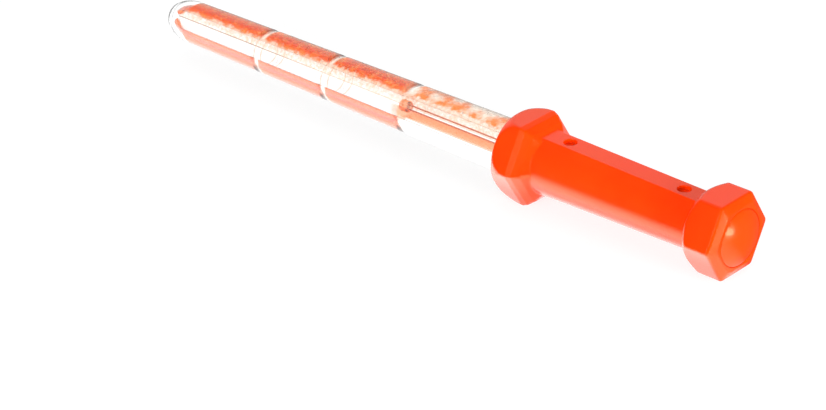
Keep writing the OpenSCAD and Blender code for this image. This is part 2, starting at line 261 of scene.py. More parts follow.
def fillet_rows(s0, r0, s1, r1, s2, r2, size, steps=4):
    """Rows that turn a corner at (s1, r1) softly, on a quadratic curve between the points that lie
    the given size from it towards its neighbours. Radii may be arrays over the angle."""
    lead = step_from(s1, r1, s0, r0, size)
    leave = step_from(s1, r1, s2, r2, size)
    rows = []
    for t in np.linspace(0, 1, steps + 1):
        a, b, c = (1 - t) ** 2, 2 * t * (1 - t), t * t
        rows.append(
            (a * lead[0] + b * s1 + c * leave[0], a * lead[1] + b * r1 + c * leave[1])
        )
    return rows


def grip_housing():
    """Grip and guard in one closed skin. The grip is a tapered circle joined softly to a flat pad,
    the guard a hexagon cut by a ball, and the inside the spigot, cell bore, ledge and socket. Two
    round recesses sink into the pad by a smooth step of the distance from each pin's axis."""
    theta = columns(*CORNERS, *PAD_EDGES)
    turned = np.where(theta > math.pi, theta - 2 * math.pi, theta)
    facing_up = np.abs(turned) < math.radians(70)
    safe = np.where(facing_up, turned, 0.5)

    def outline(s, pad=1.0):
        """Polar radius of the grip: its circle, the flat pad, and the plane from the pad's edge
        that leaves the circle at twice the edge's angle."""
        r = grip_radius(s)
        leave = 2 * math.atan(PAD_HALF / r)
        flat = r / np.cos(safe)
        side = r / np.cos(np.abs(safe) - leave)
        raised = np.where(np.abs(turned) < leave, softer_min(flat, side, 0.12), r)
        return r + (np.maximum(raised, r) - r) * pad

    # rear face of the spigot, the spigot with its seal groove, and the shoulder
    rows = [(SPIGOT_REAR, BORE_R + 0.3), (SPIGOT_REAR, SPIGOT_R - 0.35)]
    rows += [(SPIGOT_REAR + 0.1, SPIGOT_R - 0.1), (SPIGOT_REAR + 0.35, SPIGOT_R)]
    rows += [(s, SPIGOT_R) for s in np.arange(SPIGOT_BODY, SEAL_STATION - SEAL_R, 0.4)]
    groove = np.linspace(0, math.pi, 11)
    rows += [
        (SEAL_STATION - SEAL_R * math.cos(a), SPIGOT_R - 1.1 * SEAL_R * math.sin(a))
        for a in groove
    ]
    rows += [(SHOULDER, SPIGOT_R), (SHOULDER, GRIP_REAR_R - 0.4)]
    rows += [(SHOULDER + 0.12, GRIP_REAR_R - 0.12), (SHOULDER + 0.4, outline(12.3, 0.0))]
    # the grip, with close rows at the pad's rear end and through the recesses; its first row
    # stands behind the shoulder's edge, so the skin folds back there, under the cap's skirt
    rows += [(s, outline(s, 0.0)) for s in (13.5, PAD_REAR - 0.12)]
    pad_start = ((0.0, 0.75), (0.15, 0.93), (0.4, 1.0))
    rows += [(PAD_REAR + d, outline(PAD_REAR + d, share)) for d, share in pad_start]
    spans = [np.arange(s - RECESS_R - 0.6, s + RECESS_R + 0.61, 0.15) for s in PIN_STATIONS]
    between = [
        np.linspace(PAD_REAR + 1, spans[0][0] - 0.5, 5),
        spans[0],
        np.linspace(spans[0][-1] + 0.5, spans[1][0] - 0.5, 24),
        spans[1],
        np.linspace(spans[1][-1] + 0.5, GUARD_BACK - SLOPE - 0.8, 6),
    ]
    rows += [(s, outline(s)) for s in np.concatenate(between)]
    corner = GUARD_APOTHEM / math.cos(math.radians(30))
    foot = grip_radius(GUARD_BACK - SLOPE) - 0.3

    def slope(s):
        """Polar radius of the guard's back at a station: a hexagon whose corner radius follows the
        slope's profile, with corners that grow rounder towards the grip."""
        back = (GUARD_BACK - s) / SLOPE
        share = np.interp(back, *zip(*SLOPE_PROFILE))
        reach = foot + (corner - foot) * share
        fillet = GUARD_FILLET + 2.4 * min(max(back, 0), 1)
        sides = hexagon(theta, reach * math.cos(math.radians(30)), fillet)
        return softer_max(outline(s), sides, 0.9)

    rows += [(s, slope(s)) for s in np.linspace(GUARD_BACK - SLOPE - 0.5, GUARD_BACK - 0.45, 34)]
    hexagonal = hexagon(theta, GUARD_APOTHEM, GUARD_FILLET)

    def guard(s):
        """Polar radius of the guard at a station: its hexagon, cut by the ball that rounds it."""
        ball = math.sqrt(GUARD_BALL_R**2 - max(s - GUARD_BACK, 0) ** 2)
        return softer_min(hexagonal, np.full_like(theta, ball), 0.5)

    edge = guard(GUARD_BACK)
    rows += fillet_rows(
        GUARD_BACK - 0.45, slope(GUARD_BACK - 0.45), GUARD_BACK, edge, GUARD_BACK + 1, edge, 0.4, 4
    )
    rows += [(s, guard(s)) for s in np.linspace(GUARD_BACK + 0.6, GUARD_FRONT - 0.9, 14)]
    rim = guard(GUARD_FRONT)
    rows += fillet_rows(
        GUARD_FRONT - 3, guard(GUARD_FRONT - 3), GUARD_FRONT, rim, GUARD_FRONT, rim - 3, 0.6, 5
    )
    rows += [(GUARD_FRONT, rim - 1.2), (GUARD_FRONT, SOCKET_R + 0.5)]
    rows += [(GUARD_FRONT - 0.08, SOCKET_R + 0.15), (GUARD_FRONT - 0.3, SOCKET_R)]
    # socket, its floor, the lamp board's ledge and the cell bore
    rows += [(s, SOCKET_R) for s in np.linspace(GUARD_FRONT - 1, SOCKET_FLOOR, 4)]
    rows += [(SOCKET_FLOOR, r) for r in np.linspace(SOCKET_R - 0.5, LEDGE_R, 4)]
    rows += [(s, LEDGE_R) for s in (SOCKET_FLOOR - 1, LAMP_BOARD_FRONT)]
    rows += [(LAMP_BOARD_FRONT, BORE_R)]
    rows += [(s, BORE_R) for s in np.linspace(LAMP_BOARD_FRONT - 1, SPIGOT_REAR + 0.3, 12)]

    piece = polar_skin("grip_housing", theta, rows)
    sink_recesses(piece)
    return piece


def sink_recesses(piece):
    """Lowers the pad's points inside each recess: depth times one minus a smooth step of the
    distance from the pin's upright axis, whose rim is a third of a millimetre wide."""
    count = len(piece.data.vertices)
    points = np.empty(count * 3, np.float32)
    piece.data.vertices.foreach_get("co", points)
    points = points.reshape(-1, 3).astype(float)
    for s in PIN_STATIONS:
        away = np.hypot(points[:, 0] - (RIM_X - s * MM), points[:, 1]) / MM
        outer = points[:, 2] > (BORE_R + 1.5) * MM
        drop = RECESS_DEPTH * (1 - ramp(away, RECESS_R - 0.12, RECESS_R + 0.2))
        points[:, 2] -= np.where(outer, drop, 0) * MM
    piece.data.vertices.foreach_set("co", points.astype(np.float32).ravel())
    piece.data.update()


def cap_shell():
    """The pommel cap in one closed skin: a hexagon cut by a cone at its grip side, with soft
    edges, a raised end with a round hole for the button, and a round pocket inside."""
    theta = columns(*CORNERS)
    hexagonal = hexagon(theta, CAP_APOTHEM, 2.2)
    half_corner = CAP_APOTHEM / math.cos(math.radians(30))

    def side(s):
        """Polar radius of the cap's outside at a station: the hexagon, cut by its chamfer's
        cone."""
        start = CAP_THICK - CAP_CHAMFER
        slope = (half_corner - CAP_RIM_R) / CAP_CHAMFER
        if s > start:
            cone = half_corner - slope * (s - start)
        else:
            cone = half_corner + CLEAR_SLOPE * (start - s)
        return softer_min(hexagonal, np.full_like(theta, cone), 0.7)

    rear = side(0.0)
    top = hexagon(theta, CAP_END_APOTHEM, 6.0)
    rows = [(-END_RISE, CAP_HOLE_R + 0.1), (-END_RISE, CAP_HOLE_R + 0.3)]
    rows += fillet_rows(-END_RISE, CAP_HOLE_R + 0.3, -END_RISE, top, 0.0, rear, 0.35, 4)
    rows += [(-END_RISE * (1 - k), top + (rear - top) * k) for k in (0.3, 0.5, 0.7)]
    rows += fillet_rows(-END_RISE, top, 0.0, rear, 3.0, rear, 1.2, 8)
    rows += [(s, side(s)) for s in np.linspace(1.6, CAP_THICK - 0.5, 26)]
    front = side(CAP_THICK)
    rows += fillet_rows(
        CAP_THICK - 0.5, side(CAP_THICK - 0.5), CAP_THICK, front, CAP_THICK, front - 1, 0.3, 4
    )
    mouth = ((0.0, 0.3), (0.1, 0.05), (0.3, 0.0))
    rows += [(CAP_THICK - inwards, POCKET_R + wider) for inwards, wider in mouth]
    rows += [(s, POCKET_R) for s in np.linspace(CAP_THICK - 1, CAP_END_WALL, 6)]
    rows += [(CAP_END_WALL, r) for r in np.linspace(POCKET_R - 0.4, CAP_HOLE_R, 3)]
    rows += [(s, CAP_HOLE_R) for s in (CAP_END_WALL - 0.6, 0.4, -END_RISE + 0.4)]
    return polar_skin("cap_shell", theta, rows)


def push_dome():
    """The push button in one closed skin turned round the axis: a shallow ball cap with a soft
    foot, a short skirt through the cap's end wall, a flange behind it and a hollow underside."""
    theta = np.radians(np.arange(0, 360, 2.5))
    height = -DOME_TOP - END_RISE
    ball = (BUTTON_R**2 + height**2) / (2 * height)
    rows = [(DOME_TOP, 0.0)]
    crown = np.linspace(0.4, BUTTON_R - 1.6, 20)
    brim = np.linspace(BUTTON_R - 1.2, BUTTON_R - 0.35, 5)
    for r in (*crown, *brim):
        rows.append((DOME_TOP + ball - math.sqrt(ball**2 - r**2), r))
    rows += [(0.12 - END_RISE, BUTTON_R - 0.06), (0.45 - END_RISE, BUTTON_R)]
    rows += [(s, BUTTON_R) for s in (0.0, 1.2, CAP_END_WALL + 0.1)]
    rows += [(CAP_END_WALL + 0.1, FLANGE_R - 0.2), (CAP_END_WALL + 0.3, FLANGE_R)]
    rows += [(FLANGE_REAR - 0.2, FLANGE_R), (FLANGE_REAR, FLANGE_R - 0.2)]
    wall = 1.8
    under = BUTTON_R - wall
    rows += [(FLANGE_REAR, under + 0.1), (FLANGE_REAR - 0.3, under)]
    inner_ball = ball - wall
    for r in np.linspace(under - 0.3, 0.5, 14):
        rows.append((DOME_TOP + ball - math.sqrt(inner_ball**2 - r**2), r))
    rows.append((DOME_TOP + wall, 0.0))
    return polar_skin("push_dome", theta, rows, closed=False)


def groove_cut(s):
    """Depth of the ring grooves at a station: a raised cosine over each groove's width."""
    cut = 0.0
    for g in GROOVES:
        away = abs(s - g)
        if away < GROOVE_HALF:
            cut = GROOVE_DEPTH * (1 + math.cos(math.pi * away / GROOVE_HALF)) / 2
    return cut


def ellipse_tip(r, start, end, steps=24, power=2.0):
    """Rows of a quarter ellipse that closes a tip: radius r at the start, on the axis at the end.
    A power above 2 makes the end blunter: the shares along and across, each to the power, add up
    to 1."""
    along = np.sin(np.linspace(0, math.pi / 2, steps + 1))
    across = np.clip(1 - along**power, 0, None) ** (1 / power)
    return list(zip(start + (end - start) * along, r * across))


def clear_blade():
    """The blade in one closed skin turned round the axis: plain root, long taper with three ring
    grooves, elliptical tip, and a bore that ends in its own ellipse."""
    theta = np.radians(np.arange(0, 360, 2.5))
    body = np.arange(GUARD_FRONT + 0.5, ROUND_START, 0.6)
    outer = [(SOCKET_FLOOR, BLADE_ROOT_R - 0.3), (SOCKET_FLOOR + 0.3, BLADE_ROOT_R)]
    outer += [(GUARD_FRONT, BLADE_ROOT_R)]
    outer += [(s, blade_radius(s) - groove_cut(s)) for s in body]
    outer += ellipse_tip(blade_radius(ROUND_START), ROUND_START, TIP, 30)
    inside = np.linspace(SOCKET_FLOOR + 1, ROUND_START - 1, 60)
    bore = [(SOCKET_FLOOR, BLADE_ROOT_R - BLADE_WALL)]
    bore += [(s, blade_radius(max(s, GUARD_FRONT)) - BLADE_WALL) for s in inside]
    bore += ellipse_tip(blade_radius(ROUND_START) - BLADE_WALL, ROUND_START, TIP - TIP_WALL, 26)
    rows = [outer[-1]] + outer[:-1][::-1] + bore[:-1] + [bore[-1]]
    return polar_skin("clear_blade", theta, rows, closed=False)


def tinted_tube():
    """The light tube in one closed skin turned round the axis: thin neck, S-shaped shoulder,
    tapered body and rounded tip, with the same line again one wall further in."""
    theta = np.radians(np.arange(0, 360, 3.0))
    tip = FILM_TIP - 0.3
    tip_start = FILM_START - 6.3
    body_start = NECK_END + SHOULDER_LENGTH

    def line(inset):
        """The tube's line from its open rear end to its tip, moved in by the inset."""
        rows = [(s, NECK_R - inset) for s in np.linspace(LAMP_BOARD_FRONT, NECK_END, 20)]
        widening = tube_radius(body_start) - NECK_R
        for k in np.linspace(0.05, 1, 16):
            rise = (1 - math.cos(math.pi * k)) / 2
            rows.append((NECK_END + SHOULDER_LENGTH * k, NECK_R + widening * rise - inset))
        body = np.linspace(body_start + 1, tip_start - 1, 40)
        rows += [(s, tube_radius(s) - inset) for s in body]
        rows += ellipse_tip(tube_radius(tip_start) - inset, tip_start, tip - inset, 26)
        return rows

    outer, inner = line(0.0), line(TUBE_WALL)
    rows = [outer[-1]] + outer[:-1][::-1] + inner[:-1] + [inner[-1]]
    return polar_skin("tinted_tube", theta, rows, closed=False)


def film_strip(name, turn):
    """A film bonded along the blade's bore: a thin curved band that follows the bore's taper and
    closes in on a blunt ellipse before its tip, between two angles either side of its turn from
    the top. Its four edges are closed, and its outer face lies a hair into the blade's wall."""
    straight = [(s, blade_radius(s) - BLADE_WALL) for s in np.arange(STRIP_REAR, FILM_START, 1.0)]
    tip = ellipse_tip(blade_radius(FILM_START) - BLADE_WALL, FILM_START, FILM_TIP, 40, 2.5)[:38]
    line = np.array(straight + tip)
    angles = np.radians(turn + np.linspace(-STRIP_HALF_ANGLE, STRIP_HALF_ANGLE, 23))
    s, a = np.meshgrid(line[:, 0], angles, indexing="ij")
    radius = line[:, 1][:, None] + FILM_BOND
    layers = []
    for r in (radius + 0 * a, radius - STRIP_THICK + 0 * a):
        layers.append(np.stack([RIM_X - s * MM, -r * np.sin(a) * MM, r * np.cos(a) * MM], -1))
    points = np.concatenate([layer.reshape(-1, 3) for layer in layers])
    n, m = s.shape
    top = np.arange(n * m).reshape(n, m)
    under = top + n * m
    faces = []
    for sheet, flip in ((top, False), (under, True)):
        corners = [sheet[:-1, :-1], sheet[1:, :-1], sheet[1:, 1:], sheet[:-1, 1:]]
        quads = np.stack(corners, -1).reshape(-1, 4)
        faces += (quads[:, ::-1] if flip else quads).tolist()
    for edge in (np.s_[0], np.s_[-1], np.s_[:, 0], np.s_[:, -1]):
        upper, lower = top[edge], under[edge]
        faces += np.stack([upper[:-1], upper[1:], lower[1:], lower[:-1]], -1).tolist()
    return mesh_piece(name, points, [tuple(f) for f in faces], smooth_below=50)


def return_coil():
    """The button's return spring: a round wire carried along a helix. The share of the length
    grows with the angle, but not over the first and last three quarters of a turn, which lie
    flat."""
    low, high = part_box("button_spring")
    reach = radius_of("button_spring") - SPRING_WIRE_R
    start, end = station(high.x) + SPRING_WIRE_R, station(low.x) - SPRING_WIRE_R
    turn = np.linspace(0, SPRING_TURNS, 60 * SPRING_TURNS + 1)
    share = np.clip((turn - 0.75) / (SPRING_TURNS - 1.5), 0, 1)
    around = np.linspace(0, 2 * math.pi, 10, endpoint=False)
    angle = 2 * math.pi * turn[:, None]
    radius = reach + SPRING_WIRE_R * np.cos(around)
    s = start + (end - start) * share[:, None] + SPRING_WIRE_R * np.sin(around)
    y, z = -radius * np.sin(angle), radius * np.cos(angle)
    grid = np.stack([RIM_X - s * MM, y * MM, z * MM], -1)
    rings, sides = s.shape
    index = np.arange(rings * sides).reshape(rings, sides)
    one, two = index[:-1], index[1:]
    quads = np.stack([one, two, np.roll(two, -1, 1), np.roll(one, -1, 1)], -1).reshape(-1, 4)
    faces = quads.tolist() + [index[0].tolist(), index[-1][::-1].tolist()]
    return mesh_piece("return_coil", grid.reshape(-1, 3), faces)


# ---------------------------------------------------------------- materials


def colour(code):
    """Linear RGBA of an sRGB hex colour."""
    parts = np.array([int(code[i : i + 2], 16) for i in (1, 3, 5)]) / 255
    linear = np.where(parts <= 0.04045, parts / 12.92, ((parts + 0.055) / 1.055) ** 2.4)
    return (*linear.tolist(), 1.0)


def node(tree, kind, feeds=None, **settings):
    """Adds one node with its settings; feeds gives each named input a value or another node's
    output."""
    made = tree.nodes.new(kind)
    for key, value in settings.items():
        setattr(made, key, value)
    for name, source in (feeds or {}).items():
        if isinstance(source, bpy.types.NodeSocket):
            tree.links.new(source, made.inputs[name])
        else:
            made.inputs[name].default_value = source
    return made


def blank_material(name):
    """A material with an empty node tree, and that tree."""
    made = bpy.data.materials.new(name)
    made.use_nodes = True
    made.node_tree.nodes.clear()
    return made, made.node_tree


def patterns(tree, scale, detail=4.0, roughness=0.55):
    """A noise over the piece's own millimetres: the scale is features per millimetre."""
    place = node(tree, "ShaderNodeTexCoord").outputs["Object"]
    return node(
        tree,
        "ShaderNodeTexNoise",
        {"Vector": place, "Scale": scale / MM, "Detail": detail, "Roughness": roughness},
    )


def banded(tree, factor, stops):
    """A colour ramp over a factor, from (position, hex colour) stops."""
    made = node(tree, "ShaderNodeValToRGB", {"Fac": factor})
    ramp_stops = made.color_ramp.elements
    for k, (position, code) in enumerate(stops):
        stop = ramp_stops[k] if k < 2 else ramp_stops.new(position)
        stop.position = position
        stop.color = colour(code)
    return made.outputs["Color"]


def spread(tree, factor, low, high):
    """Maps a 0 to 1 factor onto a range."""
    return node(
        tree, "ShaderNodeMapRange", {"Value": factor, "To Min": low, "To Max": high}
    ).outputs["Result"]


def moulded_orange_abs():
    """ABS, injection moulded and lightly polished: strong signal orange, a soft gloss with slow
    ripples from the mould, a very fine grain, and a little light carried below the surface."""
    made, tree = blank_material("orange_abs_moulded_satin")
    slow = patterns(tree, 0.03, 3.0).outputs["Fac"]
    fine = patterns(tree, 2.2, 2.0).outputs["Fac"]
    tint = banded(tree, slow, ((0.3, "#FF3600"), (0.7, "#FF3E00")))
    ripple = node(
        tree, "ShaderNodeBump", {"Height": slow, "Strength": 0.12, "Distance": 1.2 * MM}
    )
    grain = node(
        tree,
        "ShaderNodeBump",
        {
            "Height": fine,
            "Strength": 0.06,
            "Distance": 0.05 * MM,
            "Normal": ripple.outputs["Normal"],
        },
    )
    surface = node(
        tree,
        "ShaderNodeBsdfPrincipled",
        {
            "Base Color": tint,
            "Roughness": spread(tree, slow, 0.17, 0.25),
            "IOR": 1.53,
            "Specular Tint": (1.0, 0.72, 0.42, 1.0),
            "Subsurface Weight": 0.08,
            "Subsurface Scale": 1.5 * MM,
            "Subsurface Radius": (1.0, 0.35, 0.15),
            "Normal": grain.outputs["Normal"],
        },
    )
    node(tree, "ShaderNodeOutputMaterial", {"Surface": surface.outputs["BSDF"]})
    return made


def clear_acrylic():
    """Acrylic, extruded and polished: water clear, with faint draw lines along the blade."""
    made, tree = blank_material("clear_acrylic_polished")
    place = node(tree, "ShaderNodeTexCoord").outputs["Object"]
    stretched = node(
        tree, "ShaderNodeMapping", {"Vector": place, "Scale": (0.03, 1.0, 1.0)}
    ).outputs["Vector"]
    lines = node(
        tree, "ShaderNodeTexNoise", {"Vector": stretched, "Scale": 0.35 / MM, "Detail": 2.0}
    ).outputs["Fac"]
    bump = node(tree, "ShaderNodeBump", {"Height": lines, "Strength": 0.05, "Distance": 0.05 * MM})
    surface = node(
        tree,
        "ShaderNodeBsdfPrincipled",
        {
            "Base Color": colour("#FEFEFE"),
            "Roughness": spread(tree, lines, 0.0, 0.03),
            "IOR": 1.49,
            "Transmission Weight": 1.0,
            "Normal": bump.outputs["Normal"],
        },
    )
    node(tree, "ShaderNodeOutputMaterial", {"Surface": surface.outputs["BSDF"]})
    return made


def tinted_acrylic():
    """Acrylic tube with a little orange dye in its wall. It carries a fine seam line along its
    near side, peach specks above the seam, two faint rings at each groove of the blade that are
    painted shade for the arcs the groove's walls refract, and a deep orange band under the neck."""
    made, tree = blank_material("orange_tinted_acrylic_tube")
    cloud = patterns(tree, 0.25, 3.0).outputs["Fac"]
    axes = object_axes(tree)
    turn = math.radians(SEAM_ANGLE)
    across = sums(
        tree,
        "ADD",
        sums(tree, "MULTIPLY", axes["Y"], -math.cos(turn)),
        sums(tree, "MULTIPLY", axes["Z"], -math.sin(turn)),
    )
    near = sums(
        tree,
        "SUBTRACT",
        sums(tree, "MULTIPLY", axes["Z"], math.cos(turn)),
        sums(tree, "MULTIPLY", axes["Y"], math.sin(turn)),
    )
    seam = sums(
        tree,
        "MULTIPLY",
        sums(tree, "LESS_THAN", sums(tree, "ABSOLUTE", across, 0.0), 0.2 * MM),
        sums(tree, "GREATER_THAN", near, 0.0),
    )
    root = RIM_X - NECK_END * MM
    neck = step_up(tree, axes["X"], root - 7 * MM, root - 4 * MM)
    low = sums(tree, "MULTIPLY", neck, step_up(tree, across, 0.9 * MM, 1.5 * MM))
    pale = step_up(tree, axes["X"], RIM_X - GROOVES[2] * MM, RIM_X - GROOVES[1] * MM)
    speckle = step_up(tree, patterns(tree, 0.5, 4.0, 0.6).outputs["Fac"], 0.42, 0.62)
    upper = sums(tree, "MULTIPLY", step_up(tree, across, 0.4 * MM, -0.4 * MM), speckle)
    body = blended(tree, upper, "#FFFFFF", "#FFE6D4")
    # Painted shade: two faint pale-brown rings either side of each groove stand in for the dark
    # arcs that the groove's walls refract in clear plastic
    for g in GROOVES:
        for edge in (g - REFRACTION_ARC_AWAY, g + REFRACTION_ARC_AWAY):
            away = distance_from(tree, axes["X"], RIM_X - edge * MM)
            body = blended(tree, step_up(tree, away, 0.45 * MM, 0.15 * MM), body, "#F2CDB4")
    body = blended(tree, seam, body, blended(tree, pale, "#B49A88", "#EBDACB"))
    surface = node(
        tree,
        "ShaderNodeBsdfPrincipled",
        {
            "Base Color": blended(tree, low, body, blended(tree, cloud, "#FFC09A", "#FFCCAA")),
            "Roughness": spread(tree, cloud, 0.0, 0.06),
            "IOR": 1.49,
            "Transmission Weight": 1.0,
        },
    )
    dye = node(
        tree,
        "ShaderNodeVolumeAbsorption",
        {"Color": colour("#FF8A5A"), "Density": 3.0},
    )
    node(
        tree,
        "ShaderNodeOutputMaterial",
        {"Surface": surface.outputs["BSDF"], "Volume": dye.outputs["Volume"]},
    )
    return made


def object_axes(tree):
    """The piece's own X, Y and Z in metres."""
    place = node(tree, "ShaderNodeTexCoord").outputs["Object"]
    return node(tree, "ShaderNodeSeparateXYZ", {"Vector": place}).outputs


def sums(tree, operation, first, second):
    """One sum of two values or outputs."""
    return node(tree, "ShaderNodeMath", {0: first, 1: second}, operation=operation).outputs[0]


def distance_from(tree, value, place):
    """How far a value lies from a place, in metres."""
    return sums(tree, "ABSOLUTE", sums(tree, "SUBTRACT", value, place), 0.0)


def step_up(tree, value, start, end):
    """0 where a value lies before the start and 1 past the end, straight between, in metres."""
    return node(
        tree, "ShaderNodeMapRange", {"Value": value, "From Min": start, "From Max": end}
    ).outputs["Result"]


def blended(tree, factor, low, high):
    """A colour between two, each a hex colour or an output."""
    mixed = node(tree, "ShaderNodeMix", data_type="RGBA")
    tree.links.new(factor, mixed.inputs[0])
    for socket, value in ((mixed.inputs[6], low), (mixed.inputs[7], high)):
        if isinstance(value, str):
            socket.default_value = colour(value)
        else:
            tree.links.new(value, socket)
    return mixed.outputs[2]


def ink_with_painted_groove_gaps(tree, ink):
    """An ink colour that fades to clear where the film passes under a ring groove: painted light
    that stands in for the white the groove's walls refract over the film.
    """
    along = object_axes(tree)["X"]
    cover = 1.0
    # Painted light: the ink fades to near white over each groove, in place of the white backdrop
    # that the groove refracts
    for g in GROOVES:
        away = distance_from(tree, along, RIM_X - g * MM)
        cover = sums(tree, "MULTIPLY", step_up(tree, away, 1.0 * MM, 2.2 * MM), cover)
    return blended(tree, cover, "#FFF4EA", ink)


def see_through_film(name, ink_of, roughness):
    """A thin clear film whose dye or ink colours what is seen through it, broken at the
    grooves by painted light that stands in for refraction there."""
    made, tree = blank_material(name)
    ink, grain = ink_of(tree)
    surface = node(
        tree,
        "ShaderNodeBsdfPrincipled",
        {
            "Base Color": ink_with_painted_groove_gaps(tree, ink),
            "Roughness": spread(tree, grain, *roughness),
            "IOR": 1.49,
            "Transmission Weight": 1.0,
        },
    )
    node(tree, "ShaderNodeOutputMaterial", {"Surface": surface.outputs["BSDF"]})
    return made


def prism_film():
    """Printed polyester film: see-through orange ink in a soft cloud, deep over most of the strip,
    with a ragged near edge, and broken into pale patches at the root."""

    def ink(tree):
        """Ink colour and grain of the printed film."""
        place = node(tree, "ShaderNodeTexCoord").outputs["Object"]
        grains = node(
            tree, "ShaderNodeTexVoronoi", {"Vector": place, "Scale": 0.7 / MM, "Randomness": 1.0}
        ).outputs["Distance"]
        mottle = patterns(tree, 0.35, 5.0, 0.65).outputs["Fac"]
        inks = ((0.32, "#F65400"), (0.5, "#FC6A0C"), (0.64, "#FFA050"), (0.78, "#FFE0C0"))
        ink = banded(tree, mottle, inks)
        axes = object_axes(tree)
        root = RIM_X - NECK_END * MM
        patches = step_up(tree, patterns(tree, 0.12, 4.0, 0.6).outputs["Fac"], 0.4, 0.6)
        pale = blended(tree, patches, "#FF8A3C", "#FFEEDC")
        ink = blended(tree, step_up(tree, axes["X"], root - 4 * MM, root + 4 * MM), ink, pale)
        ragged = sums(tree, "MULTIPLY", sums(tree, "SUBTRACT", mottle, 0.5), 9 * MM)
        side = sums(tree, "ADD", axes["Y"], ragged)
        ink = blended(tree, step_up(tree, side, -5.2 * MM, -3.2 * MM), "#FFF0E0", ink)
        return ink, grains

    return see_through_film("printed_prism_film", ink, (0.1, 0.3))


def tint_film():
    """Dyed polyester film: even, clear salmon with a faint cloud in the dye, bare at the root."""

    def dye(tree):
        """Dye colour and grain of the plain film."""
        cloud = patterns(tree, 0.15, 3.0).outputs["Fac"]
        dye = banded(tree, cloud, ((0.3, "#F2763C"), (0.7, "#F4864E")))
        root = RIM_X - (NECK_END - 1) * MM
        bare = step_up(tree, object_axes(tree)["X"], root, root + 1.5 * MM)
        return blended(tree, bare, dye, "#FFFCF8"), cloud

    return see_through_film("salmon_tinted_film", dye, (0.05, 0.15))


def plain_finish(
    name, dark, light, roughness, metallic=0.0, ior=1.5, grain=0.8, stretch=(1, 1, 1)
):
    """A finish for the small parts inside: two close colours and a roughness that follow one noise
    whose grain is in features per millimetre, stretched along an axis for drawn metal."""
    made, tree = blank_material(name)
    place = node(tree, "ShaderNodeTexCoord").outputs["Object"]
    stretched = node(
        tree, "ShaderNodeMapping", {"Vector": place, "Scale": stretch}
    ).outputs["Vector"]
    noise = node(
        tree, "ShaderNodeTexNoise", {"Vector": stretched, "Scale": grain / MM, "Detail": 4.0}
    ).outputs["Fac"]
    relief = node(
        tree, "ShaderNodeBump", {"Height": noise, "Strength": 0.3, "Distance": 0.05 * MM}
    )
    surface = node(
        tree,
        "ShaderNodeBsdfPrincipled",
        {
            "Base Color": banded(tree, noise, ((0.3, dark), (0.7, light))),
            "Roughness": spread(tree, noise, *roughness),
            "Metallic": metallic,
            "IOR": ior,
            "Normal": relief.outputs["Normal"],
        },
    )
    node(tree, "ShaderNodeOutputMaterial", {"Surface": surface.outputs["BSDF"]})
    return made


def led_epoxy():
    """Cast epoxy of the lamp: clear and glossy, with orange dye in a slow swirl."""
    made, tree = blank_material("red_orange_cast_epoxy")
    swirl = patterns(tree, 0.4, 2.0).outputs["Fac"]
    surface = node(
        tree,
        "ShaderNodeBsdfPrincipled",
        {
            "Base Color": banded(tree, swirl, ((0.3, "#F4905A"), (0.7, "#F8A878"))),
            "Roughness": spread(tree, swirl, 0.05, 0.15),
            "IOR": 1.54,
            "Transmission Weight": 1.0,
        },
    )
    node(tree, "ShaderNodeOutputMaterial", {"Surface": surface.outputs["BSDF"]})
    return made


# ---------------------------------------------------------------- the object

# Stretch of a metal's grain: along the wand, or across it
ALONG = (0.1, 1, 1)
ACROSS = (1, 0.1, 0.1)
orange = moulded_orange_abs()
natural = plain_finish("natural_nylon_moulded", "#E9E2CF", "#F4EFE0", (0.35, 0.5), ior=1.53)
black = plain_finish("black_abs_moulded", "#141415", "#202022", (0.35, 0.5))
rubber = plain_finish("nitrile_rubber_moulded", "#161616", "#232323", (0.5, 0.7), ior=1.52)
brass = plain_finish(
    "stamped_brass", "#C9A14A", "#DDB863", (0.2, 0.35), metallic=1.0, stretch=ALONG
)
steel = plain_finish(
    "nickel_plated_steel_drawn", "#B9BABC", "#CFCFD0", (0.18, 0.32), metallic=1.0, stretch=ACROSS
)
copper = plain_finish(
    "enamelled_copper_wire", "#D9834E", "#EC9A66", (0.25, 0.4), metallic=1.0, stretch=ALONG
)
board = plain_finish(
    "solder_masked_glass_epoxy", "#1F6B3A", "#2A8048", (0.25, 0.4), ior=1.55, grain=1.5
)
CAD_FINISHES = {
    "lock_pins": orange,
    "thread_ring": orange,
    "battery_sleeve": natural,
    "lamp_holder": natural,
    "switch_plunger": natural,
    "switch_body": black,
    "resistor": black,
    "blade_o_ring": rubber,
    "cap_o_ring": rubber,
    "return_strip": brass,
    "front_contact": brass,
    "contact_ring": brass,
    "rear_cell": steel,
    "front_cell": steel,
    "led_leads": copper,
    "battery_spring": steel,
    "lamp_board": board,
    "tail_board": board,
    "led": led_epoxy(),
}
for name, finish in CAD_FINISHES.items():
    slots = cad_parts[name].data.materials
    slots.clear()
    slots.append(finish)


def fit_piece(piece, finish, body, node_name):
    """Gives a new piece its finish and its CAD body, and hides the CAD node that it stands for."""
    piece.data.materials.append(finish)
    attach(piece, body)
    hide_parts(node_name)


fit_piece(grip_housing(), orange, "handle", "grip")
fit_piece(cap_shell(), orange, "cap", "pommel_cap")
fit_piece(push_dome(), orange, "push_button", "button")
fit_piece(clear_blade(), clear_acrylic(), "handle", "blade")
fit_piece(tinted_tube(), tinted_acrylic(), "handle", "light_tube")
fit_piece(film_strip("prism_strip", 0.0), prism_film(), "handle", "glow_strip")
fit_piece(
    film_strip("tint_band", STRIP_TURN), tint_film(), "handle", "tint_strip"
)
coil = return_coil()
fit_piece(coil, steel, "cap", "button_spring")
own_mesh(coil)


# ---------------------------------------------------------------- stage, light and camera

# The room's strengths, where 1 is white: what matt surfaces receive, what is seen through clear
# plastic, and the white wall behind the object that gloss shows
ROOM_LIGHT = 0.5
WHITE_THROUGH_CLEAR = 1.3
WALL_DARK, WALL_BRIGHT = 0.03, 0.95
AWAY_FROM_VIEWER = (-0.72, 0.69, 0.0)
WALL_SPAN = (0.5, 0.85)
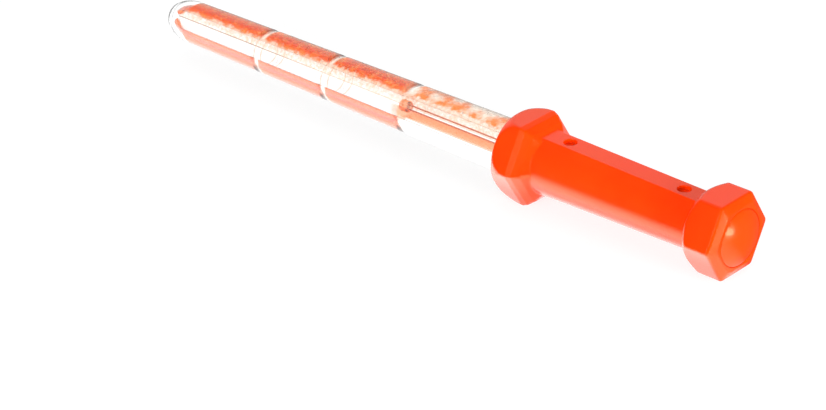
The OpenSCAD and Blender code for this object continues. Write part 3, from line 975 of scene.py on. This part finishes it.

# The table, in metres: its own glow to the eye, and how bright gloss sees it. It is dark in front
# of the object, brightest just before it, half as bright under it as a painted shadow of the
# object, and dim again behind it, most of all beyond the pommel.
FLOOR_HALF_SIZE = 8.0
FLOOR_GLOW = 0.84
FLOOR_DARK, FLOOR_IN_GLOSS = 0.03, 4.3
FLOOR_FRONT = (-0.075, -0.036)
FLOOR_PAINTED_SHADOW = (-0.024, -0.015)
FLOOR_BEHIND = (-0.008, 0.012)
FLOOR_HANDLE_END = (0.12, 0.18)

# Clear walls and films lie one inside the other, and each costs a ray two bounces
BOUNCES = 32


def ray_kinds(tree):
    """The light path's outputs: which kind of ray asks for a colour."""
    return node(tree, "ShaderNodeLightPath").outputs


def glow(tree, strength):
    """A white emission of a strength, where 1 is white."""
    lit = node(tree, "ShaderNodeEmission", {"Color": (1, 1, 1, 1), "Strength": strength})
    return lit.outputs[0]


def choose(tree, factor, otherwise, chosen):
    """One shader where the factor is 0 and another where it is 1."""
    mix = node(tree, "ShaderNodeMixShader", {0: factor, 1: otherwise, 2: chosen})
    return mix.outputs["Shader"]


def ramp_between(tree, value, span, shades):
    """A straight change from the first shade to the second while a value crosses a span."""
    limits = {"From Min": span[0], "From Max": span[1], "To Min": shades[0], "To Max": shades[1]}
    return node(tree, "ShaderNodeMapRange", {"Value": value, **limits}).outputs["Result"]


def white_floor():
    """A wide lit white table. The eye sees it white with the object's soft shadow, gloss sees its
    bright face with a painted shadow under the object, clear plastic sees its bright face, and it
    gives matt surfaces the light of pale laminate."""
    half = FLOOR_HALF_SIZE
    z = FLOOR_Z - 0.05 * MM
    corners = [(-half, -half, z), (half, -half, z), (half, half, z), (-half, half, z)]
    mesh = bpy.data.meshes.new("table_top")
    mesh.from_pydata(corners, [], [(0, 1, 2, 3)])
    floor = bpy.data.objects.new("table_top", mesh)
    bpy.context.scene.collection.objects.link(floor)
    made, tree = blank_material("white_table_laminate")
    path = ray_kinds(tree)
    speck = patterns(tree, 0.004, 2.0).outputs["Fac"]
    paint = node(
        tree,
        "ShaderNodeBsdfDiffuse",
        {"Color": banded(tree, speck, ((0.3, "#E8E8E8"), (0.7, "#ECECEC")))},
    ).outputs["BSDF"]
    dim_paint = node(tree, "ShaderNodeBsdfDiffuse", {"Color": colour("#848484")}).outputs["BSDF"]
    seen = node(
        tree, "ShaderNodeAddShader", {0: dim_paint, 1: glow(tree, FLOOR_GLOW)}
    ).outputs["Shader"]
    axes = object_axes(tree)
    depth = axes["Y"]
    front = ramp_between(tree, depth, FLOOR_FRONT, (FLOOR_DARK, FLOOR_IN_GLOSS))
    # Painted shadow: gloss sees the table half as bright under the object
    under = ramp_between(tree, depth, FLOOR_PAINTED_SHADOW, (1.0, 0.5))
    beyond = ramp_between(tree, axes["X"], FLOOR_HANDLE_END, (0.72, 0.95))
    shade = sums(tree, "MULTIPLY", step_up(tree, depth, *FLOOR_BEHIND), beyond)
    back = sums(tree, "SUBTRACT", 1.0, shade)
    lit = sums(tree, "MULTIPLY", sums(tree, "MULTIPLY", front, under), back)
    face = choose(tree, path["Is Glossy Ray"], paint, glow(tree, lit))
    face = choose(tree, path["Is Transmission Ray"], face, glow(tree, WHITE_THROUGH_CLEAR))
    face = choose(tree, path["Is Camera Ray"], face, seen)
    node(tree, "ShaderNodeOutputMaterial", {"Surface": face})
    mesh.materials.append(made)


def studio_world():
    """White for the eye and through clear plastic, a soft light for matt surfaces, and in gloss a
    white backdrop behind the object that turns dark towards the viewer's side."""
    world = bpy.data.worlds.new("studio")
    world.use_nodes = True
    tree = world.node_tree
    tree.nodes.clear()
    path = ray_kinds(tree)
    toward = node(tree, "ShaderNodeTexCoord").outputs["Generated"]
    facing = node(
        tree, "ShaderNodeVectorMath", {0: toward, 1: AWAY_FROM_VIEWER}, operation="DOT_PRODUCT"
    ).outputs["Value"]
    wall = ramp_between(tree, facing, WALL_SPAN, (WALL_DARK, WALL_BRIGHT))
    shown = []
    for strength in (ROOM_LIGHT, wall, WHITE_THROUGH_CLEAR, 1.0):
        white = {"Color": (1, 1, 1, 1), "Strength": strength}
        shown.append(node(tree, "ShaderNodeBackground", white).outputs[0])
    sky = choose(tree, path["Is Glossy Ray"], shown[0], shown[1])
    sky = choose(tree, path["Is Transmission Ray"], sky, shown[2])
    sky = choose(tree, path["Is Camera Ray"], sky, shown[3])
    node(tree, "ShaderNodeOutputWorld", {"Surface": sky})
    bpy.context.scene.world = world


def soft_lamp(name, place, aim, size, power, in_gloss=False):
    """A rectangular soft box at a place in metres, turned to its aim. Neither the eye nor clear
    plastic sees it; gloss shows it only where that is asked for."""
    data = bpy.data.lights.new(name, "AREA")
    data.shape = "RECTANGLE"
    data.size, data.size_y = size
    data.energy = power
    lamp = bpy.data.objects.new(name, data)
    bpy.context.scene.collection.objects.link(lamp)
    lamp.location = place
    lamp.rotation_mode = "QUATERNION"
    lamp.rotation_quaternion = (Vector(aim) - Vector(place)).to_track_quat("-Z", "Y")
    lamp.visible_camera = False
    lamp.visible_transmission = False
    lamp.visible_glossy = in_gloss


def camera():
    """The viewer's place: a long lens a good metre away, above the pommel's near side."""
    data = bpy.data.cameras.new("viewer")
    data.sensor_width = 36.0
    data.lens = 104.6
    data.clip_end = 50.0
    data.shift_x, data.shift_y = 0.0013, -0.0002
    made = bpy.data.objects.new("viewer", data)
    bpy.context.scene.collection.objects.link(made)
    right = Vector((0.71372, 0.6986, -0.05073)).normalized()
    back = Vector((0.63061, -0.60936, 0.48063)).normalized()
    up = back.cross(right).normalized()
    right = up.cross(back)
    roll = math.radians(0.22)
    cos, sin = math.cos(roll), math.sin(roll)
    right, up = right * cos + up * sin, up * cos - right * sin
    turn = Matrix((right, up, back)).transposed().to_4x4()
    made.matrix_world = Matrix.Translation((0.7351, -0.7255, 0.5175)) @ turn
    bpy.context.scene.camera = made


white_floor()
studio_world()
soft_lamp("key_box", (1.7, 0.0, 0.28), (0.1, 0, 0), (0.7, 0.5), 34)
soft_lamp("top_box", (-0.3, 0.2, 1.6), (0, 0, 0), (1.4, 1.4), 2, in_gloss=True)
soft_lamp("front_box", (0.2, -1.6, 0.42), (0, 0, 0), (1.2, 0.8), 24)
soft_lamp(
    "dome_card",
    (0.31, 0.023, -0.010),
    (0.188, -0.007, 0.005),
    (0.03, 0.022),
    0.04,
    in_gloss=True,
)
camera()
bpy.context.scene.cycles.max_bounces = BOUNCES
bpy.context.scene.cycles.transmission_bounces = BOUNCES

view = bpy.context.scene.view_settings
view.view_transform = "Standard"
